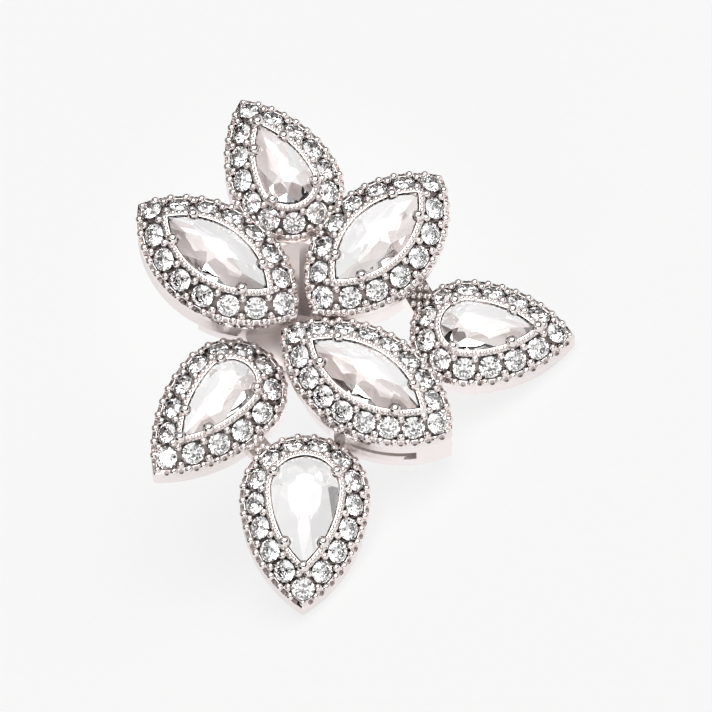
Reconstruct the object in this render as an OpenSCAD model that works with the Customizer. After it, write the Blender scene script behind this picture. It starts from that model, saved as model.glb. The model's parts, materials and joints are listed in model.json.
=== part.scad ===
// Flower earring, in millimetres. Seven leaf-shaped petals of white gold, three raised over four, each a
// rose-cut centre stone in a sloping band of small round stones. The flower is drawn flat with its face up,
// then leaned on its ear post and on the tips of two petals, the way it lies by itself.

/* [Petals] */

// Slope of the halo band below the level of its centre stone, in degrees
band_slope = 38; // [36:1:40]
// Width of the halo band, seen from the front
band_w = 1.44; // [1.42:0.01:1.5]
// Height of the gallery slot in the wall of the lower raised petal
slot_h = 0.85; // [0.5:0.05:0.9]

/* [Stones] */

// Diameter of a halo stone
halo_d = 1.15; // [1.0:0.01:1.16]
// Height of a centre stone, from its flat back to its table
rose_h = 0.98; // [0.8:0.02:1.1]
// Diameter of a prong bead
bead_d = 0.5; // [0.4:0.02:0.54]

/* [Post] */

// Diameter of the ear post
post_d = 0.85; // [0.75:0.05:0.95]
// Length of the ear post behind its collar
post_len = 10; // [9:0.5:11]

/* [Hidden] */

$fn = 64;

// Columns of the petal table: shape, x, y and direction of the outer tip, half width, distance from the
// middle to the outer tip, height of the band's lower rim, height of the plain wall under that rim, place on
// the petal's axis where that wall begins (nearer the middle of the flower it is short), tier.
// A marquise is pointed at both ends. A pear is round at its inner end, and its middle is the centre of
// that round. In a tier an earlier petal cuts into a later one.
petals = [
  ["marquise", -3.92, 2.55, 142.5, 2.95, 5.07, 3.8, 1.6, -2.9, 2],
  ["marquise", 4.12, 3.53, 48.7, 3.00, 5.00, 3.6, 0.6, -9, 2],
  ["marquise", 3.60, -3.91, -34.0, 2.92, 5.20, 3.4, 2.7, 0, 2],
  ["pear", -0.36, 7.41, 116.0, 2.84, 5.50, 1.5, 1.5, -9, 1],
  ["pear", 8.68, -0.48, -2.0, 2.89, 5.49, 1.5, 1.1, -9, 1],
  ["pear", -3.25, -3.65, -130.4, 2.85, 5.98, 1.5, 1.1, -9, 1],
  ["pear", 0.50, -9.22, -91.0, 3.28, 6.15, 1.3, 0.9, -9, 1],
];
upper_left = 0;
upper_right = 1;
lower_right = 2;
top = 3;
right = 4;
lower_left = 5;
bottom = 6;
function pointed(i) = petals[i][0] == "marquise";
function middle(i) = [petals[i][1], petals[i][2]];
function direction(i) = petals[i][3];
function half_w(i) = petals[i][4];
function reach(i) = petals[i][5];
function rim_z(i) = petals[i][6];
function wall_h(i) = petals[i][7];
function wall_from(i) = petals[i][8];
function tier(i) = petals[i][9];
function foot_z(i) = rim_z(i) - wall_h(i);

// A petal's sides are arcs of radius side_r, whose centres lie side_c beyond its long axis.
function side_r(i) = (reach(i) * reach(i) + half_w(i) * half_w(i)) / (2 * half_w(i));
function side_c(i) = side_r(i) - half_w(i);
// Distance from the middle to the tip of the outline that lies inset inside the rim.
function inset_reach(i, inset) = sqrt(pow(side_r(i) - inset, 2) - pow(side_c(i), 2));

// The band rises from the rim to a narrow flat lip, inside which the centre stone sits in a recess.
band_rise = band_w * tan(band_slope);
lip_w = 0.08;
seat_depth = 0.3;
ledge_w = 0.42;
stone_gap = 0.04;
stone_inset = band_w + lip_w + stone_gap;
opening_inset = band_w + lip_w + ledge_w;

// Raised petals have a short wall near the middle of the flower, and stand there on a set-back pedestal.
short_wall = 0.6;
pedestal_inset = 0.5;
pedestal_wall = 0.84;
pedestal_end = -0.6;

// Halo stones stand in a channel that follows the middle of the band.
channel_w = halo_d + 0.1;
channel_depth = 0.62;
halo_gap = 0.11;
halo_sink = 0.02;
halo_pitch = halo_d + halo_gap;
mid_inset = band_w / 2;
clear_of_metal = halo_d / 2 + 0.06;
stone_top = 1.3;
scan = 0.05;

// The plain plate between the petals, and the collar behind it that takes the post.
hub_at = [0.2, 0.2];
hub_r = 2.8;
hub_h = 1.3;
bridge_w = 2.2;
bridge_end = 5.2;
web_end = 4.0;
web_h = 2.3;
post_at = [-0.3, 2.0];
collar_r = 1.25;
collar_h = 0.7;
socket_depth = 1.3;
peg_d = 0.5;
fit_gap = 0.02;

// The groove near the post's tip is cut by a ring whose middle lies groove_out outside the post's wall.
groove_at = 2.1;
groove_r = 0.22;
groove_out = 0.12;

// Pose at rest: the floor touches the back edges of two petals near their tips and the round end of the post.
function turned(v, a) = [v[0] * cos(a) - v[1] * sin(a), v[0] * sin(a) + v[1] * cos(a)];
function unit(v) = v / norm(v);
// Point of a petal's outline that lies furthest along d, at height z.
function far_point(i, d, z) =
  let (h = turned([d[0], d[1]], -direction(i)),
    s = sign(h[1]),
    a = atan2(abs(h[1]), h[0]),
    tip_fan = atan2(side_c(i), reach(i)),
    q = a < tip_fan ? [reach(i), 0]
      : pointed(i) && a > 180 - tip_fan ? [-reach(i), 0]
      : !pointed(i) && a > 90 ? half_w(i) * [cos(a), s * sin(a)]
      : side_r(i) * [cos(a), s * sin(a)] - [0, s * side_c(i)])
  concat(middle(i) + turned(q, direction(i)), [z]);
function lowest_point(i, v) = far_point(i, -v, foot_z(i));
end_centre = concat(post_at, [-collar_h - post_len + post_d / 2]);
function floor_normal(v) =
  let (c = end_centre - post_d / 2 * v)
  unit(cross(lowest_point(bottom, v) - c, lowest_point(right, v) - c));
function settle(v, n) = n == 0 ? v : settle(floor_normal(v), n - 1);
up = settle(unit([-0.4, 0.5, 0.8]), 20);
// The viewer looks at the face from 22 degrees below its normal, and stands on the -Y side.
view_tilt = 22;
to_viewer = [0, -sin(view_tilt), cos(view_tilt)];
back = -unit(to_viewer - (to_viewer * up) * up);
side = cross(back, up);
lean_x = atan2(up[1], up[2]);
lean_y = -asin(up[0]);
lean_z = atan2(back[0], side[0]);
floor_level = up * lowest_point(bottom, up);
// How far the petals reach along d, and the shift that brings the middle of the earring over the origin.
function furthest(d) = max([for (i = [0 : len(petals) - 1], z = [rim_z(i), foot_z(i)]) d * far_point(i, d, z)]);
centre_x = (furthest(side) - furthest(-side)) / 2;
centre_y = (furthest(back) - furthest(-back)) / 2;

// Moves the flat flower into its leaning pose.
module leaned() {
  translate([-centre_x, -centre_y, -floor_level])
    rotate([lean_x, lean_y, lean_z])
      children();
}

// Moves a petal from its own axis, tip along +X, to its place in the flower.
module placed(i, z = 0) {
  translate(concat(middle(i), [z]))
    rotate([0, 0, direction(i)])
      children();
}

// Round-sided body over a petal outline set in by inset, narrowing by run at its top.
module leaf(i, inset, h, run = 0) {
  leaf_of(i) {
    cylinder(r1 = side_r(i) - inset, r2 = side_r(i) - inset - run, h = h);
    cylinder(r1 = half_w(i) - inset, r2 = half_w(i) - inset - run, h = h);
  }
}

// Turns two round bodies, one for the long sides and one for the round end, into a petal.
module leaf_of(i) {
  if (pointed(i)) {
    intersection() {
      translate([0, -side_c(i), 0]) children(0);
      translate([0, side_c(i), 0]) children(0);
    }
  } else {
    union() {
      intersection() {
        translate([0, -side_c(i), 0]) children(0);
        translate([0, side_c(i), 0]) children(0);
        translate([0, -20, -20]) cube([20, 40, 40]);
      }
      intersection() {
        children(1);
        translate([-20, -20, -20]) cube([20, 40, 40]);
      }
    }
  }
}

// Upright wall with the sloping band on top, turned round a vertical axis, measured from the rim.
module wall_and_band(r, wall) {
  rotate_extrude()
    polygon([[0, -wall], [r, -wall], [r, 0], [r - band_w, band_rise], [0, band_rise]]);
}

// Section of the channel around a vertical axis, for a band whose rim has radius r.
module channel_section(r) {
  mid = [r - mid_inset, mid_inset * tan(band_slope)];
  along = [-cos(band_slope), sin(band_slope)] * channel_w / 2;
  out = [sin(band_slope), cos(band_slope)];
  polygon([
    mid - along + out * 0.6,
    mid + along + out * 0.6,
    mid + along - out * channel_depth,
    mid - along - out * channel_depth
  ]);
}

// The channel of a whole petal, measured from the level of its rim.
module channel(i) {
  for (s = [-1, 1]) {
    intersection() {
      translate([0, -s * side_c(i), 0]) rotate_extrude() channel_section(side_r(i));
      translate([pointed(i) ? -20 : 0, s > 0 ? 0 : -20, -5]) cube([40, 20, 10]);
    }
  }
  if (!pointed(i)) {
    intersection() {
      rotate_extrude() channel_section(half_w(i));
      translate([-20, -20, -5]) cube([20, 40, 10]);
    }
  }
}

// Places of the halo stones of a petal, on its own axis: x, y, direction in which the stone leans, lean.
function sweep(i) = atan2(inset_reach(i, mid_inset), side_c(i));
function side_len(i) = (side_r(i) - mid_inset) * sweep(i) * PI / 180;
function round_len(i) = (half_w(i) - mid_inset) * PI;
function tip_lean(i) = atan2(band_rise, reach(i) - inset_reach(i, band_w));
function on_side(i, len, s) =
  let (a = sweep(i) - len / (side_r(i) - mid_inset) * 180 / PI)
  [(side_r(i) - mid_inset) * sin(a), s * ((side_r(i) - mid_inset) * cos(a) - side_c(i)), s * (90 - a), band_slope];
function on_round(i, len) =
  let (a = 90 + len / (half_w(i) - mid_inset) * 180 / PI)
  [(half_w(i) - mid_inset) * cos(a), (half_w(i) - mid_inset) * sin(a), a, band_slope];
function tip_place(i, s) = [s * inset_reach(i, mid_inset), 0, s > 0 ? 0 : 180, tip_lean(i)];
function loop_len(i) = 2 * side_len(i) + (pointed(i) ? 0 : round_len(i));
// A marquise has a loop on each side s, from tip to tip. A pear has one, from its tip and back to it.
function on_loop(i, s, len) =
  pointed(i) || len < side_len(i) ? on_side(i, len, s)
  : len < side_len(i) + round_len(i) ? on_round(i, len - side_len(i))
  : on_side(i, loop_len(i) - len, -s);

// A stone is left out where another petal stands over its place.
function to_petal(j, p) = turned(p - middle(j), -direction(j));
function within(j, q, margin) =
  !pointed(j) && q[0] < 0
    ? norm(q) < half_w(j) + margin
    : norm([q[0], abs(q[1]) + side_c(j)]) < side_r(j) + margin;
function blocks(j, i, p) =
  let (q = to_petal(j, p))
  tier(j) == tier(i) ? j < i && within(j, q, clear_of_metal)
  : tier(j) < tier(i) ? false
  : foot_z(j) < rim_z(i) + stone_top && q[0] > wall_from(j) - clear_of_metal ? within(j, q, clear_of_metal)
  : q[0] < pedestal_end + clear_of_metal && within(j, q, clear_of_metal - pedestal_inset);
function in_flower(i, q) = middle(i) + turned([q[0], q[1]], direction(i));
function is_free(i, q) = len([for (j = [0 : len(petals) - 1]) if (blocks(j, i, in_flower(i, q))) j]) == 0;
function loop_free(i, s, len) = is_free(i, on_loop(i, s, len));
// Stones spread over the free run from a to b. A tip has a stone of its own.
function spaced(a, b, from_tip, to_tip) =
  let (n = floor((b - a) / halo_pitch))
  b < a ? []
  : n == 0 ? [b]
  : [for (k = [from_tip ? 1 : 0 : to_tip ? n - 1 : n]) a + k * (b - a) / n];
function run_places(i, s) =
  let (end = loop_len(i),
    starts = [for (t = [0 : scan : end]) if (loop_free(i, s, t) && (t < scan || !loop_free(i, s, t - scan))) t],
    ends = [for (t = [0 : scan : end]) if (loop_free(i, s, t) && (t + scan > end || !loop_free(i, s, t + scan))) t])
  [for (k = [0 : len(starts) - 1])
    let (from_tip = starts[k] < scan,
      to_tip = ends[k] + scan > end,
      first = from_tip ? 0 : k == 0 ? starts[k] : max(starts[k], ends[k - 1] + halo_pitch))
    each spaced(first, to_tip ? end : ends[k], from_tip, to_tip)];
function kept_places(i) = concat(
  [for (s = pointed(i) ? [1, -1] : [1]) if (is_free(i, tip_place(i, s))) tip_place(i, s)],
  [for (s = pointed(i) ? [1, -1] : [1], len = run_places(i, s)) on_loop(i, s, len)]);

// Puts a stone's own axis upright on the band at one of those places.
module on_band(i, q) {
  placed(i, rim_z(i))
    translate([q[0], q[1], band_rise / 2])
      rotate([0, 0, q[2]])
        rotate([0, q[3], 0])
          children();
}

// Small round stone with a table, eight crown facets and eight pavilion facets.
module halo_stone() {
  r = halo_d / 2;
  translate([0, 0, -halo_sink])
    rotate_extrude($fn = 8)
      polygon([[0, -0.43 * halo_d], [r, -0.03], [r, 0.01], [0.57 * r, 0.16 * halo_d], [0, 0.16 * halo_d]]);
}

// Outline points of a centre stone, from the outer tip round, n of them.
function stone_reach(i) = inset_reach(i, stone_inset);
function stone_half(i) = half_w(i) - stone_inset;
function edge_half(i, x) =
  x < 0 && !pointed(i) ? sqrt(max(0, pow(stone_half(i), 2) - x * x))
  : max(0, sqrt(pow(side_r(i) - stone_inset, 2) - x * x) - side_c(i));
function stone_edge(i, n) = [for (k = [0 : n - 1])
  let (a = 360 * k / n,
    back_reach = pointed(i) ? stone_reach(i) : stone_half(i),
    x = cos(a) > 0 ? stone_reach(i) * cos(a) : back_reach * cos(a))
  [x, (sin(a) < 0 ? -1 : 1) * edge_half(i, x)]];

// Rose-cut stone: flat back, upright girdle, a skirt of triangles, a crown of triangles and a small table.
girdle_h = 0.26;
function ring_at(points, size, z) = [for (p = points) [p[0] * size, p[1] * size, z]];
module rose_cut(i) {
  n = 12;
  m = n / 2;
  edge = stone_edge(i, n);
  odd = [for (k = [0 : m - 1]) edge[2 * k + 1]];
  even = [for (k = [0 : m - 1]) edge[2 * k]];
  points = concat(ring_at(edge, 1, 0), ring_at(edge, 1, girdle_h),
    ring_at(odd, 0.66, girdle_h + 0.62 * (rose_h - girdle_h)), ring_at(even, 0.3, rose_h));
  b = n;
  c = 2 * n;
  d = 2 * n + m;
  polyhedron(points, concat(
    [[for (k = [0 : n - 1]) k]],
    [for (k = [0 : n - 1]) [k, b + k, b + (k + 1) % n, (k + 1) % n]],
    [for (k = [0 : m - 1]) [b + 2 * k, c + k, b + 2 * k + 1]],
    [for (k = [0 : m - 1]) [b + 2 * k + 1, c + k, b + (2 * k + 2) % n]],
    [for (k = [0 : m - 1]) [b + (2 * k + 2) % n, c + k, c + (k + 1) % m]],
    [for (k = [0 : m - 1]) [c + k, d + (k + 1) % m, c + (k + 1) % m]],
    [for (k = [0 : m - 1]) [c + k, d + k, d + (k + 1) % m]],
    [[for (k = [m - 1 : -1 : 0]) d + k]]
  ));
}

seat_z = band_rise - seat_depth;
module centre_stone(i) {
  leaned() placed(i, rim_z(i) + seat_z + fit_gap) rose_cut(i);
}

// Prong beads stand on the lip beside the ends of the centre stone, and one at the tip of a pear.
bead_out = 0.07;
function side_bead(i, x, s) =
  let (a = asin(x / (side_r(i) - stone_inset)))
  [x, s * ((side_r(i) - stone_inset + bead_out) * cos(a) - side_c(i))];
function bead_places(i) = pointed(i)
  ? [for (e = [-1, 1], s = [-1, 1]) side_bead(i, e * (stone_reach(i) - 0.95), s)]
  : concat([for (s = [-1, 1]) side_bead(i, stone_reach(i) - 1.25, s)],
      [for (s = [-1, 1]) turned([stone_half(i) + bead_out, 0], 180 - s * 52)],
      [[stone_reach(i) + 0.16, 0]]);
bead_z = 0.1;

// Metal of one petal, before its neighbours are joined to it.
module petal_body(i) {
  difference() {
    placed(i, rim_z(i)) leaf_of(i) {
      wall_and_band(side_r(i), wall_h(i));
      wall_and_band(half_w(i), wall_h(i));
    }
    placed(i, rim_z(i)) channel(i);
    placed(i, rim_z(i) + seat_z) leaf(i, band_w + lip_w, 2);
    placed(i, foot_z(i) - 1) leaf(i, opening_inset, 10);
    if (wall_from(i) > -reach(i)) {
      placed(i, foot_z(i) - 1)
        translate([-reach(i) - 1, -6, 0])
          cube([reach(i) + 1 + wall_from(i), 12, 1 + wall_h(i) - short_wall]);
    }
  }
}

module beads(i) {
  difference() {
    for (q = bead_places(i)) {
      placed(i, rim_z(i) + seat_z) translate([q[0], q[1], 0]) {
        cylinder(d = bead_d, h = seat_depth + bead_z);
        translate([0, 0, seat_depth + bead_z]) sphere(d = bead_d);
      }
    }
    placed(i, rim_z(i) + seat_z) stone_room(i);
  }
}

// Room kept free for the centre stone under its beads.
module stone_room(i) {
  straight = girdle_h + fit_gap + 0.03;
  leaf(i, stone_inset - stone_gap, straight);
  translate([0, 0, straight]) leaf(i, stone_inset - stone_gap, 0.6, 0.62);
}

// Set-back wall under the inner half of a raised petal.
module pedestal(i) {
  foot = 0.2;
  intersection() {
    difference() {
      placed(i, foot) leaf(i, pedestal_inset, rim_z(i) - short_wall - foot + 0.1);
      placed(i, foot - 1) leaf(i, pedestal_inset + pedestal_wall, 10);
    }
    placed(i, 0) translate([-reach(i) - 1, -6, 0]) cube([reach(i) + 1 + pedestal_end, 12, 5]);
  }
}

// The open gallery of the lower raised petal: one long slot right through both walls of its outer half.
module gallery_slot() {
  i = lower_right;
  placed(i, rim_z(i) - 1.0 - slot_h) translate([0.9, -6, 0]) cube([3.1, 12, slot_h]);
}

module petal(i) {
  difference() {
    union() {
      petal_body(i);
      beads(i);
      if (tier(i) == 2) pedestal(i);
    }
    if (i == lower_right) gallery_slot();
    for (j = [0 : len(petals) - 1]) {
      if (tier(j) == tier(i) && j < i) placed(j, -1) leaf(j, 0, 10);
    }
  }
}

// Short bar that solders the right petal to the rail of the lower raised petal.
module side_bar() {
  translate([6.7, -2.9, 0.8]) rotate([0, 0, 51]) translate([-1, -0.7, 0]) cube([2, 1.4, 0.65]);
}

module hub() {
  translate(concat(hub_at, [0])) cylinder(r = hub_r, h = hub_h);
  translate([hub_at[0] - bridge_w / 2, hub_at[1], 0]) cube([bridge_w, bridge_end, hub_h]);
  translate([hub_at[0] - bridge_w / 2, hub_at[1], 0]) cube([bridge_w, web_end, web_h]);
  translate(concat(post_at, [-collar_h])) cylinder(r = collar_r, h = collar_h + 0.5);
}

module post_socket() {
  translate(concat(post_at, [-collar_h - 1])) cylinder(d = peg_d + 2 * fit_gap, h = 1 + socket_depth);
}

module setting() {
  color([0.86, 0.84, 0.83]) leaned() difference() {
    union() {
      for (i = [0 : len(petals) - 1]) petal(i);
      side_bar();
      hub();
    }
    post_socket();
  }
}

// Straight ear post: a peg in the collar, a round end, and a shallow groove that a clutch snaps into.
module post() {
  color([0.84, 0.83, 0.82]) leaned() translate(concat(post_at, [-collar_h - post_len])) {
    difference() {
      union() {
        translate([0, 0, post_d / 2]) sphere(d = post_d);
        translate([0, 0, post_d / 2]) cylinder(d = post_d, h = post_len - post_d / 2 - fit_gap);
        translate([0, 0, post_len / 2]) cylinder(d = peg_d, h = post_len / 2 + socket_depth - fit_gap);
      }
      translate([0, 0, groove_at]) rotate_extrude() translate([post_d / 2 + groove_out, 0]) circle(r = groove_r);
    }
  }
}

module halo_stones() {
  color([0.93, 0.95, 0.97]) leaned() {
    for (i = [0 : len(petals) - 1], q = kept_places(i)) on_band(i, q) halo_stone();
  }
}

module stone_upper_left() { color([0.95, 0.96, 0.98]) centre_stone(upper_left); }
module stone_upper_right() { color([0.95, 0.96, 0.98]) centre_stone(upper_right); }
module stone_lower_right() { color([0.95, 0.96, 0.98]) centre_stone(lower_right); }
module stone_top() { color([0.95, 0.96, 0.98]) centre_stone(top); }
module stone_right() { color([0.95, 0.96, 0.98]) centre_stone(right); }
module stone_lower_left() { color([0.95, 0.96, 0.98]) centre_stone(lower_left); }
module stone_bottom() { color([0.95, 0.96, 0.98]) centre_stone(bottom); }

setting();
post();
halo_stones();
stone_upper_left();
stone_upper_right();
stone_lower_right();
stone_top();
stone_right();
stone_lower_left();
stone_bottom();
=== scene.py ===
# A flower stud earring of rhodium-plated white gold and colourless stones, lying on the end of its post and
# on the tips of two petals. Shapes are worked out in the flower's own axes, in millimetres, with its face
# along +Z, and are then leaned into the frame.
import math
from collections import namedtuple

import bmesh
import bpy
import numpy as np
from mathutils import Matrix, Vector
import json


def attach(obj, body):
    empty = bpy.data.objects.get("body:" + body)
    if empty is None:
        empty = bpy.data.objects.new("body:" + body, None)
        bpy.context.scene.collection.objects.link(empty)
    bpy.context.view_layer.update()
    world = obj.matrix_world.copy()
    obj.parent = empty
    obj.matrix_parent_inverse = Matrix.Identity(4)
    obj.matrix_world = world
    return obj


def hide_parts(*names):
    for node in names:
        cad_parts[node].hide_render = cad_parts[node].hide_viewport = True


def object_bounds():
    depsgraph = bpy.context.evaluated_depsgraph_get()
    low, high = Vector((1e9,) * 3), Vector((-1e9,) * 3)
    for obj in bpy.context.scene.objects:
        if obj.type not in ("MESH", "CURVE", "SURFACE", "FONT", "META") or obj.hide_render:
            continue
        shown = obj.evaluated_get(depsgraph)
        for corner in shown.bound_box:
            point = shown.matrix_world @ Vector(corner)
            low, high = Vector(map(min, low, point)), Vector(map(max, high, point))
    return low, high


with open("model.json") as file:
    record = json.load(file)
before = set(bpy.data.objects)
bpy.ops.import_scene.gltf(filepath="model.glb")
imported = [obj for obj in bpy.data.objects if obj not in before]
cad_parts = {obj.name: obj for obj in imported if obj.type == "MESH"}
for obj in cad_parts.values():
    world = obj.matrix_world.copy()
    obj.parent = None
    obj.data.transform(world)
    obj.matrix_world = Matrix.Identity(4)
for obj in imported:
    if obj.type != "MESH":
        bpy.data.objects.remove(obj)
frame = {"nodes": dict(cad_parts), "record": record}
cad_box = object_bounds()


# How the earring lies. The ear post is square to the flower's face, so its mount tells which way the face
# looks. The viewer of the photograph looks along +Y and down, and eye_rise is how far down for a line of
# sight 22 degrees from the face's normal. The matrix lean takes the flower's own axes into the frame.
MM = 0.001
view_tilt = math.radians(22)
post_mount = next(m for m in frame["record"]["mounts"] if m["name"] == "post")
face = -Vector(post_mount["axis"])
eye_rise = math.asin(math.cos(view_tilt) / math.hypot(face.y, face.z)) - math.atan2(-face.y, face.z)
to_eye = Vector((0, -math.cos(eye_rise), math.sin(eye_rise)))
flower_up = (math.cos(view_tilt) * face - to_eye) / math.sin(view_tilt)
flower_right = flower_up.cross(face)

post_x, post_y = -0.3, 2.0
collar_h = 0.7
fit_gap = 0.02
post_middle = Vector((post_x, post_y, -collar_h - fit_gap - post_mount["dims"]["length_mm"] / 2))
turn_to_frame = Matrix((flower_right, flower_up, face)).transposed()
lean = Matrix.LocRotScale(
    Vector(post_mount["pos_m"]) - turn_to_frame @ post_middle * MM, turn_to_frame, Vector((MM, MM, MM)))


# The petals' metal: seven leaf-shaped frames, cast in white gold and soldered to each other. Each has a
# plain polished wall, a band that slopes up to the centre stone with a shallow channel for the small
# stones, a narrow lip, and an open back. Three marquise petals are raised over four pear-shaped ones.

# A petal's own x axis runs from its middle to its tip. Half is half its width, reach the way to its tip, rim
# the height of its rim, and wall the depth of its wall, which is short_wall where x is less than wall_from.
Petal = namedtuple("Petal", "name pointed x y turn half reach rim wall wall_from raised")
petals = [
    Petal("upper_left", True, -3.92, 2.55, 142.5, 2.95, 5.07, 3.8, 1.6, -2.9, True),
    Petal("upper_right", True, 4.12, 3.53, 48.7, 3.00, 5.00, 3.6, 0.6, -9, True),
    Petal("lower_right", True, 3.60, -3.91, -34.0, 2.92, 5.20, 3.4, 2.7, 0, True),
    Petal("top", False, -0.36, 7.41, 116.0, 2.84, 5.50, 1.5, 1.5, -9, False),
    Petal("right", False, 8.68, -0.48, -2.0, 2.89, 5.49, 1.5, 1.1, -9, False),
    Petal("lower_left", False, -3.25, -3.65, -130.4, 2.85, 5.98, 1.5, 1.1, -9, False),
    Petal("bottom", False, 0.50, -9.22, -91.0, 3.28, 6.15, 1.3, 0.9, -9, False),
]
short_wall = 0.6
band_slope = math.radians(38)
band_w = 1.44
band_rise = band_w * math.tan(band_slope)
lip_w = 0.08
seat_depth = 0.3
ledge_w = 0.2
opening_inset = band_w + lip_w + ledge_w
channel_w = 1.25
channel_depth = 0.3
skin_start = 0.42
hair = 0.001
back_r, edge_r, rail_r, fine_r = 0.06, 0.05, 0.035, 0.02
tip_wear = 0.12
least_wear = 0.004
tip_steps, side_steps, round_steps = 6, 40, 24


def side_arc(p):
    """Radius of a petal's sides, and how far their centres lie beyond its long axis."""
    radius = (p.reach ** 2 + p.half ** 2) / (2 * p.half)
    return radius, radius - p.half


def arc(cx, cy, radius, start, end, steps):
    """Points on an arc, both ends included."""
    turns = np.linspace(start, end, steps + 1)
    return [(cx + radius * math.cos(a), cy + radius * math.sin(a)) for a in turns]


def outline(p, inset):
    """Outline of a petal, set in by inset, on the petal's own axes: its tips are slightly worn."""
    radius, offset = side_arc(p)
    side = radius - inset
    worn = max(tip_wear - inset, least_wear)
    tip_x = math.sqrt((side - worn) ** 2 - offset ** 2)
    fan = math.atan2(offset, tip_x)
    tip = arc(tip_x, 0, worn, -fan, fan, tip_steps)
    if p.pointed:
        upper = arc(0, -offset, side, fan, math.pi - fan, side_steps)
        far_tip = arc(-tip_x, 0, worn, math.pi - fan, math.pi + fan, tip_steps)
        lower = arc(0, offset, side, math.pi + fan, 2 * math.pi - fan, side_steps)
    else:
        upper = arc(0, -offset, side, fan, math.pi / 2, side_steps // 2)
        far_tip = arc(0, 0, p.half - inset, math.pi / 2, 1.5 * math.pi, round_steps)
        lower = arc(0, offset, side, 1.5 * math.pi, 2 * math.pi - fan, side_steps // 2)
    return tip[:-1] + upper[:-1] + far_tip[:-1] + lower[:-1]


def rounded(corners):
    """Closed profile whose corners (across, height, radius) are turned into short arcs."""
    points = []
    for k, (x, z, radius) in enumerate(corners):
        here = np.array((x, z))
        before = np.array(corners[k - 1][:2]) - here
        after = np.array(corners[(k + 1) % len(corners)][:2]) - here
        before, after = before / np.linalg.norm(before), after / np.linalg.norm(after)
        half_angle = math.acos(np.clip(before @ after, -1, 1)) / 2
        if radius == 0 or half_angle > 1.5:
            points.append((x, z))
            continue
        middle = here + (before + after) / np.linalg.norm(before + after) * radius / math.sin(half_angle)
        start = here + before * radius / math.tan(half_angle) - middle
        end = here + after * radius / math.tan(half_angle) - middle
        for f in np.linspace(0, 1, 5):
            way = start * (1 - f) + end * f
            points.append(tuple(middle + way / np.linalg.norm(way) * radius))
    return points


def solid(name, points, faces):
    """Object of a closed mesh in the flower's axes, with its faces turned outwards."""
    mesh = bpy.data.meshes.new(name)
    mesh.from_pydata([tuple(v) for v in points], [], faces)
    bm = bmesh.new()
    bm.from_mesh(mesh)
    bmesh.ops.remove_doubles(bm, verts=bm.verts, dist=1e-5)
    bmesh.ops.recalc_face_normals(bm, faces=bm.faces)
    bm.to_mesh(mesh)
    bm.free()
    made = bpy.data.objects.new(name, mesh)
    bpy.context.scene.collection.objects.link(made)
    return made


def in_flower(part, x, y, z):
    """A point of the own axes of a petal, bar or link in the flower's."""
    c, s = math.cos(math.radians(part.turn)), math.sin(math.radians(part.turn))
    return part.x + x * c - y * s, part.y + x * s + y * c, z


def own_axes(p, point):
    """A point of the flower on the petal's own axes, seen from the front."""
    c, s = math.cos(math.radians(p.turn)), math.sin(math.radians(p.turn))
    x, y = point[0] - p.x, point[1] - p.y
    return x * c + y * s, y * c - x * s


def inset_at(p, x, y):
    """How far a place on the petal's own axes lies inside its rim."""
    if x < 0 and not p.pointed:
        return p.half - math.hypot(x, y)
    radius, offset = side_arc(p)
    return radius - math.hypot(x, abs(y) + offset)


def side_faces(n, first, second):
    """Faces between two loops of n corners each, given by the loops' numbers."""
    a, b = first * n, second * n
    return [(a + k, a + (k + 1) % n, b + (k + 1) % n, b + k) for k in range(n)]


def frame_ring(p, profile):
    """Ring of metal round a petal, from a closed profile of (inset, height over the rim)."""
    loops = [[in_flower(p, x, y, p.rim + z) for x, y in outline(p, inset)] for inset, z in profile]
    count = len(loops)
    faces = [f for j in range(count) for f in side_faces(len(loops[0]), j, (j + 1) % count)]
    return solid(p.name, [v for loop in loops for v in loop], faces)


def block(name, plan, low, high, bevel=edge_r):
    """Upright block over a convex plan, its upper and lower edges slightly eased."""
    plan = np.array(plan)
    middle = plan.mean(0)
    size = np.linalg.norm(plan - middle, axis=1).max()
    eased = [(low, 1 - bevel / size), (low + bevel, 1), (high - bevel, 1), (high, 1 - bevel / size)]
    points = [(*(middle + (q - middle) * scale), z) for z, scale in eased for q in plan]
    n = len(plan)
    sides = [f for j in range(3) for f in side_faces(n, j, j + 1)]
    return solid(name, points, [range(n), range(3 * n, 4 * n)] + sides)


def slope_point(along, depth, radius=0.0):
    """Corner of the profile, that far up the sloping band and that deep under its surface."""
    return (along * math.cos(band_slope) + depth * math.sin(band_slope),
            along * math.sin(band_slope) - depth * math.cos(band_slope), radius)


def band_profile(wall):
    """Profile of a petal's frame: wall, sloping band with its channel, lip, ledge under the stone. A corner
    on the wall marks where the skin of the casting starts."""
    slope_length = band_w / math.cos(band_slope)
    near = (slope_length - channel_w) / 2
    far = near + channel_w
    lip = band_w + lip_w
    ledge = band_rise - seat_depth
    return rounded([
        (0, -wall, back_r), (0, -skin_start, 0), (0, 0, edge_r), slope_point(near, 0, rail_r),
        slope_point(near, channel_depth, fine_r), slope_point(far, channel_depth, fine_r),
        slope_point(far, 0, rail_r), (band_w, band_rise, fine_r), (lip, band_rise, fine_r), (lip, ledge, 0),
        (opening_inset, ledge, fine_r), (opening_inset, -wall, edge_r),
    ])


def boolean(body, operation, tools):
    """Joins tools to body or cuts them from it, and clears them away."""
    for tool in tools:
        step = body.modifiers.new("step", "BOOLEAN")
        step.solver = "MANIFOLD"
        step.operation = operation
        step.object = tool
    bpy.context.view_layer.update()
    mesh = bpy.data.meshes.new_from_object(body.evaluated_get(bpy.context.evaluated_depsgraph_get()))
    body.modifiers.clear()
    body.data = mesh
    for tool in tools:
        bpy.data.objects.remove(tool)
    return body


def extruded(name, ends):
    """Solid between two ends, each a list of corners in the same order."""
    n = len(ends[0])
    return solid(name, ends[0] + ends[1], [range(n), range(n, 2 * n)] + side_faces(n, 0, 1))


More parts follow.
